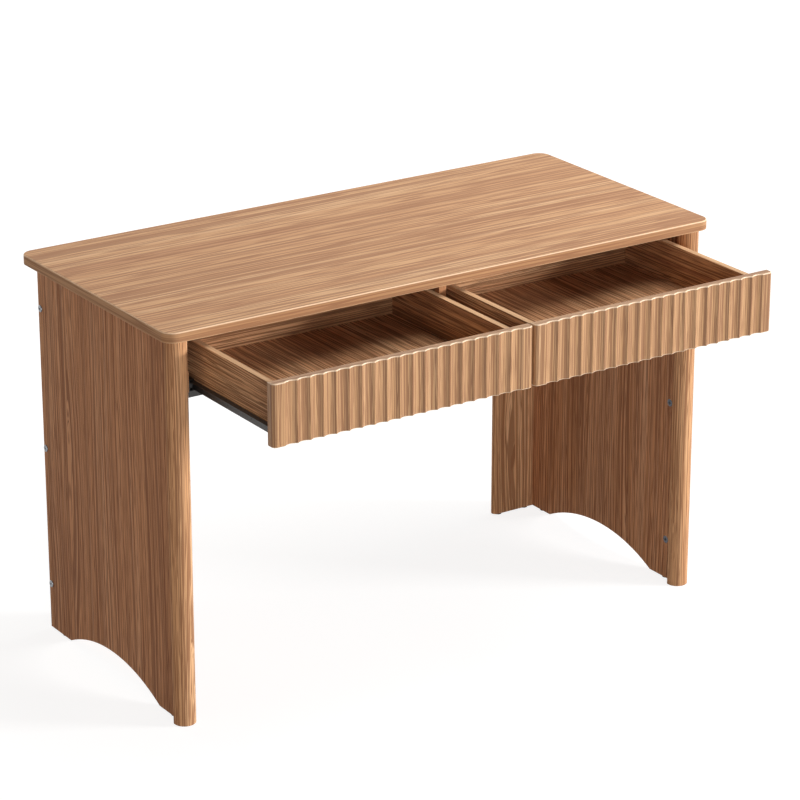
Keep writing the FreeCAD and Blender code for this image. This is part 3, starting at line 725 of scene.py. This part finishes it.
# Phosphate and oil leave the runners' screws a dull black, so they don't show against the
# runners. The crystals are drawn at 1.5 mm because real ones are too fine to show.
PHOSPHATE = FineFinish(
    "steel, black phosphated",
    dark="#1f1e1e",
    light="#323030",
    metallic=0.0,
    roughness=0.5,
    grain_mm=(1.5, 1.5, 1.5),
    depth_mm=0.02,
    ior=1.6,
)
# Turned beech shows short pinkish flecks along the dowel, a few millimetres long.
BEECH = FineFinish(
    "beech, turned",
    dark="#b98d62",
    light="#d6ae80",
    metallic=0.0,
    roughness=0.6,
    grain_mm=(1.2, 1.2, 7.0),
    depth_mm=0.05,
)
# Moulded nylon, dyed black, has the spark-eroded grain of its mould, drawn at 0.7 mm because the
# real one is too fine to show.
NYLON = FineFinish(
    "nylon, dyed and moulded",
    dark="#262423",
    light="#383533",
    metallic=0.0,
    roughness=0.45,
    grain_mm=(0.7, 0.7, 0.7),
    depth_mm=0.01,
    ior=1.53,
)
# Moulded polypropylene is a dull near-black with the same grain, coarser on a foot.
POLYPROPYLENE = FineFinish(
    "polypropylene, moulded",
    dark="#1b1816",
    light="#2a2623",
    metallic=0.0,
    roughness=0.55,
    grain_mm=(1.0, 1.0, 1.0),
    depth_mm=0.02,
    ior=1.49,
)


@dataclass(frozen=True)
class Desktop:
    """The round-cornered top board.

    Attributes:
        board: the board and the lie of its print.
    """

    # Its eased edges get a painted highlight.
    board: Board = Board("desktop", Axis.X, Axis.Z, (310.0, 40.0), paints_edge_highlight=True, banded=True)

    def dress(self) -> Iterator[str]:
        """Covers the top and names it."""
        dress(self.board.node, TOP_FOIL.cover(self.board))
        yield self.board.node


@dataclass(frozen=True)
class Leg:
    """A side panel with its half-round front post and its rear wing.

    Attributes:
        side: the half of the desk that it carries.
        panel_cut, post_cut, wing_cut: where on the roll each board's sheet was cut.
    """

    side: Side
    panel_cut: Pair
    post_cut: Pair
    wing_cut: Pair

    def dress(self) -> Iterator[str]:
        """Covers the leg's boards.

        Returns:
            Each board's name, once it is covered.
        """
        name = self.side.value
        # The posts and wings take the paler foil, which paints light on them.
        for board, foil in (
            (Board(f"{name}_side_panel", Axis.Z, Axis.X, self.panel_cut), UPRIGHT_FOIL),
            (Board(f"{name}_front_post", Axis.Z, None, self.post_cut), PAINTED_LIGHT_POST_FOIL),
            (Board(f"{name}_rear_wing", Axis.Z, Axis.Y, self.wing_cut), PAINTED_LIGHT_POST_FOIL),
        ):
            dress(board.node, foil.cover(board))
            yield board.node


@dataclass(frozen=True)
class Carcass:
    """The boards and the rail that join the legs under the top.

    Attributes:
        back: the panel behind the drawers.
        divider: the board between the drawers.
        left_batten, right_batten: the packing behind the outer runners.
        rail: the steel rail's CAD node.
    """

    back: Board = Board("back_panel", Axis.X, Axis.Y, (120.0, 410.0))
    divider: Board = Board("centre_divider", Axis.Y, Axis.X, (640.0, 90.0), banded=True)
    left_batten: Board = Board("left_runner_batten", Axis.Y, Axis.X, (75.0, 260.0))
    right_batten: Board = Board("right_runner_batten", Axis.Y, Axis.X, (930.0, 180.0))
    rail: str = "front_rail"

    def dress(self) -> Iterator[str]:
        """Covers the carcass's boards and coats its rail.

        Returns:
            Each piece's name, once it is finished.
        """
        for board in (self.back, self.divider, self.left_batten, self.right_batten):
            dress(board.node, UPRIGHT_FOIL.cover(board))
            yield board.node
        dress(self.rail, POWDER_COAT.material())
        yield self.rail


@dataclass(frozen=True)
class Drawer:
    """A drawer box with its fluted front.

    Attributes:
        side: the half of the desk that it slides in.
        front_cut: where on the roll the front's sheet was cut.
        box_cut: where on the roll the inner side's sheet was cut.
        outer_step, back_step, bottom_step: how far from that sheet the others were cut, in
            millimetres along and across.
    """

    side: Side
    front_cut: Pair
    box_cut: Pair
    outer_step: Pair = (210.0, 65.0)
    back_step: Pair = (480.0, 130.0)
    bottom_step: Pair = (820.0, 300.0)

    def cut(self, step: Pair = (0.0, 0.0)) -> Pair:
        """Finds where on the roll a sheet of the box was cut, from its step."""
        return self.box_cut[0] + step[0], self.box_cut[1] + step[1]

    def dress(self) -> Iterator[str]:
        """Covers the drawer's boards.

        Returns:
            Each board's name, once it is covered.
        """
        name = f"{self.side.value}_drawer"
        # The front's eased edges get a painted highlight.
        front = Board(f"{name}_front", Axis.Z, Axis.Y, self.front_cut, paints_edge_highlight=True)
        dress(front.node, FRONT_FOIL.cover(front))
        yield front.node
        outer, back = self.cut(self.outer_step), self.cut(self.back_step)
        for board in (
            Board(f"{name}_inner_side", Axis.Y, Axis.X, self.cut(), banded=True),
            Board(f"{name}_outer_side", Axis.Y, Axis.X, outer, banded=True),
            Board(f"{name}_back", Axis.X, Axis.Y, back, banded=True),
            Board(f"{name}_bottom", Axis.Y, Axis.Z, self.cut(self.bottom_step)),
        ):
            dress(board.node, BOX_FOIL.cover(board))
            yield board.node


@dataclass(frozen=True)
class Runners:
    """The steel roller runners of one drawer.

    Attributes:
        side: the half of the desk that they are in.
    """

    side: Side

    def dress(self) -> Iterator[str]:
        """Coats the runners and finishes their rollers.

        Returns:
            Each piece's name, once it is finished.
        """
        name = self.side.value
        coat, nylon = POWDER_COAT.material(), NYLON.material()
        for place in ("inner", "outer"):
            for node in (f"{name}_{place}_fixed_runner", f"{name}_{place}_drawer_runner"):
                dress(node, coat)
                yield node
        for node in (f"{name}_front_rollers", f"{name}_rear_rollers"):
            dress(node, nylon)
            yield node


@dataclass(frozen=True)
class Fasteners:
    """The cams, bolts, screws, dowels and glides.

    Attributes:
        cast: the cast pieces.
        plated: the zinc-plated pieces.
        blackened: the screws that hold black steel.
        turned: the wooden pieces.
        moulded: the feet.
    """

    cast: tuple[str, ...] = (
        "frame_cam_locks",
        "left_drawer_cam_locks",
        "right_drawer_cam_locks",
    )
    plated: tuple[str, ...] = (
        "frame_cam_bolts",
        "wing_bolts",
        "wing_barrel_nuts",
        "batten_screws",
        "divider_screws",
        "left_drawer_cam_bolts",
        "right_drawer_cam_bolts",
        "left_drawer_back_screws",
        "right_drawer_back_screws",
    )
    blackened: tuple[str, ...] = (
        "fixed_runner_screws",
        "front_rail_screws",
        "left_drawer_runner_screws",
        "right_drawer_runner_screws",
    )
    turned: tuple[str, ...] = ("frame_dowels",)
    moulded: tuple[str, ...] = ("glides",)

    def dress(self) -> Iterator[str]:
        """Finishes the fasteners.

        Returns:
            Each node's name, once it is finished.
        """
        for nodes, finish in (
            (self.cast, CAST_ZINC),
            (self.plated, ZINC_PLATE),
            (self.blackened, PHOSPHATE),
            (self.turned, BEECH),
            (self.moulded, POLYPROPYLENE),
        ):
            material = finish.material()
            for node in nodes:
                dress(node, material)
                yield node


@dataclass(frozen=True)
class Lamp:
    """A square soft lamp.

    Attributes:
        name: the lamp's name.
        place: where it stands, in metres.
        aim: the point it faces.
        side: length of its side.
        watts: its power.
        colour: colour of its light.
    """

    name: str
    place: Triple
    aim: Triple
    side: float
    watts: float
    colour: str = WHITE

    def build(self) -> None:
        """Makes the lamp."""
        data = bpy.data.lights.new(self.name, "AREA")
        data.shape, data.size, data.energy = "SQUARE", self.side, self.watts
        data.color = linear(self.colour)[:3]
        lamp = bpy.data.objects.new(self.name, data)
        lamp.location = self.place
        aim = Vector(self.aim) - Vector(self.place)
        lamp.rotation_euler = aim.to_track_quat("-Z", "Y").to_euler()
        bpy.context.scene.collection.objects.link(lamp)


@dataclass(frozen=True)
class Studio:
    """A pale floor, five soft lamps, even light from all round, and the camera.

    Attributes:
        camera_place: the camera's place in metres.
        azimuth, elevation: where the camera looks from, in degrees.
        focal_pixels: focal length in pixels of the picture.
        sight: how far the camera sees, in metres.
        lamps: the soft lamps.
        air: strength of the light from all round.
        air_colour: colour of that light.
        floor_half: half of the floor's side, in metres.
        floor_drop_mm: how far the floor lies under the glides, so that their faces don't meet.
        floor_bounce: colour of the floor in the light that it throws back.
        floor_shown: colour of the floor that is seen, under its glow.
        glow_reach: distances from the desk between which the floor's glow rises, in metres.
        glow: strength of the glow at those distances.
    """

    camera_place: Triple = (-3.20856, -4.80420, 2.64918)
    azimuth: float = -33.591
    elevation: float = 20.666
    focal_pixels: float = 3270.46
    sight: float = 200.0
    lamps: tuple[Lamp, ...] = (
        Lamp("key lamp", (7.9, -5.85, 2.35), aim=(0.0, -0.2, 0.55), side=2.2, watts=1130.0),
        Lamp("overhead lamp", (1.3, -0.3, 3.4), aim=(0.3, 0.0, 0.7), side=2.4, watts=76.0),
        Lamp("fill lamp", (-2.0, -5.0, 1.0), aim=(0.0, 0.0, 0.4), side=2.6, watts=118.0),
        Lamp("left lamp", (-5.0, 0.3, 1.0), (0.0, 0.0, 0.4), 2.6, watts=23.0, colour="#ffdcb8"),
        Lamp("back lamp", (-0.8, 5.6, 1.6), (0.0, 0.0, 0.4), 2.6, watts=70.0, colour="#fff3e7"),
    )
    air: float = 0.15
    air_colour: str = "#fffaf4"
    floor_half: float = 30.0
    floor_drop_mm: float = 0.2
    floor_bounce: str = "#a4a4a4"
    floor_shown: str = "#959595"
    glow_reach: Pair = (1.2, 4.0)
    glow: Pair = (0.84, 0.97)

    def build(self) -> Iterator[str]:
        """Makes the studio.

        Returns:
            The name of each thing, once it is made.
        """
        self.build_air()
        yield "studio air"
        self.build_floor()
        yield "floor"
        for lamp in self.lamps:
            lamp.build()
            yield lamp.name
        self.build_camera()
        yield "camera"

    def seen(self, tree: Tree) -> Socket:
        """Tells rays that show the background from rays that only carry light.

        Args:
            tree: node tree of the floor or the world.

        Returns:
            One for rays from the camera, and for reflections and refractions.
        """
        ray = add_node(tree, "ShaderNodeLightPath").outputs
        shown = ray["Is Camera Ray"]
        for other in (ray["Is Glossy Ray"], ray["Is Transmission Ray"]):
            shown = add_node(
                tree, "ShaderNodeMath", {0: shown, 1: other}, operation="MAXIMUM"
            ).outputs[0]
        return shown

    def build_air(self) -> None:
        """Makes the even light, which shows as white."""
        world = bpy.data.worlds.new("studio air")
        bpy.context.scene.world = world
        world.use_nodes = True
        tree = world.node_tree
        tree.nodes.clear()
        light, white = (
            add_node(
                tree, "ShaderNodeBackground", {"Color": linear(colour), "Strength": strength}
            ).outputs[0]
            for colour, strength in ((self.air_colour, self.air), (WHITE, 1.0))
        )
        mixed = add_node(
            tree, "ShaderNodeMixShader", {0: self.seen(tree), 1: light, 2: white}
        ).outputs[0]
        add_node(tree, "ShaderNodeOutputWorld", {"Surface": mixed})

    def floor_paint(self) -> Material:
        """Makes the floor's paint.

        Returns:
            The material.
        """
        # Matt paint scatters light evenly, so the eye gets a plain pale ground with the desk's
        # soft shadow. The glow lifts it to the background's white, and less so near the desk.
        material = new_material("floor, matt white paint")
        tree = material.node_tree
        plain, lit = (
            add_node(tree, "ShaderNodeBsdfDiffuse", {"Color": linear(colour)}).outputs[0]
            for colour in (self.floor_bounce, self.floor_shown)
        )
        point = add_node(tree, "ShaderNodeTexCoord").outputs["Object"]
        away = add_node(
            tree, "ShaderNodeVectorMath", {0: point}, operation="LENGTH"
        ).outputs["Value"]
        near, far = self.glow_reach
        dim, bright = self.glow
        strength = add_node(
            tree,
            "ShaderNodeMapRange",
            {"Value": away, "From Min": near, "From Max": far, "To Min": dim, "To Max": bright},
        ).outputs[0]
        glow = add_node(
            tree, "ShaderNodeEmission", {"Color": linear(WHITE), "Strength": strength}
        ).outputs[0]
        white = add_node(tree, "ShaderNodeAddShader", {0: lit, 1: glow}).outputs[0]
        mixed = add_node(
            tree, "ShaderNodeMixShader", {0: self.seen(tree), 1: plain, 2: white}
        ).outputs[0]
        add_node(tree, "ShaderNodeOutputMaterial", {"Surface": mixed})
        return material

    def build_floor(self) -> None:
        """Makes the floor, which shows as white and keeps the desk's shadow."""
        half = self.floor_half
        mesh = bpy.data.meshes.new("floor")
        corners = [(-half, -half, 0.0), (half, -half, 0.0), (half, half, 0.0), (-half, half, 0.0)]
        mesh.from_pydata(corners, [], [(0, 1, 2, 3)])
        mesh.materials.append(self.floor_paint())
        floor = bpy.data.objects.new("floor", mesh)
        floor.location.z = -self.floor_drop_mm * MM
        bpy.context.scene.collection.objects.link(floor)

    def build_camera(self) -> None:
        """Makes the camera at the photograph's viewing angle."""
        data = bpy.data.cameras.new("camera")
        data.sensor_fit, data.sensor_width = "HORIZONTAL", SENSOR_MM
        data.lens = self.focal_pixels / PICTURE_PIXELS * SENSOR_MM
        data.clip_end = self.sight
        camera = bpy.data.objects.new("camera", data)
        turn, lift = math.radians(self.azimuth), math.radians(self.elevation)
        level = math.cos(lift)
        back = Vector((math.sin(turn) * level, -math.cos(turn) * level, math.sin(lift)))
        camera.location = self.camera_place
        camera.rotation_euler = (-back).to_track_quat("-Z", "Y").to_euler()
        bpy.context.scene.collection.objects.link(camera)
        bpy.context.scene.camera = camera


def write_sizes() -> None:
    """Updates the view layer; nothing is written."""
    bpy.context.view_layer.update()


def main() -> None:
    """Dresses the desk, sets up the studio and reports each piece."""
    logging.basicConfig(level=logging.INFO, format="%(name)s: %(message)s")
    bpy.context.scene.view_settings.view_transform = "Standard"
    for assembly in (
        Desktop(),
        Leg(
            Side.LEFT, panel_cut=(150.0, 20.0), post_cut=(40.0, 320.0), wing_cut=(700.0, 510.0)
        ),
        Leg(
            Side.RIGHT, panel_cut=(1260.0, 640.0), post_cut=(880.0, 130.0), wing_cut=(330.0, 760.0)
        ),
        Carcass(),
        Drawer(Side.LEFT, front_cut=(60.0, 900.0), box_cut=(15.0, 45.0)),
        Drawer(Side.RIGHT, front_cut=(460.0, 210.0), box_cut=(1310.0, 540.0)),
        Runners(Side.LEFT),
        Runners(Side.RIGHT),
        Fasteners(),
    ):
        for piece in assembly.dress():
            LOG.info("dressed %s", piece)
    for piece in Studio().build():
        LOG.info("built %s", piece)
    write_sizes()


if __name__ == "__main__":
    main()
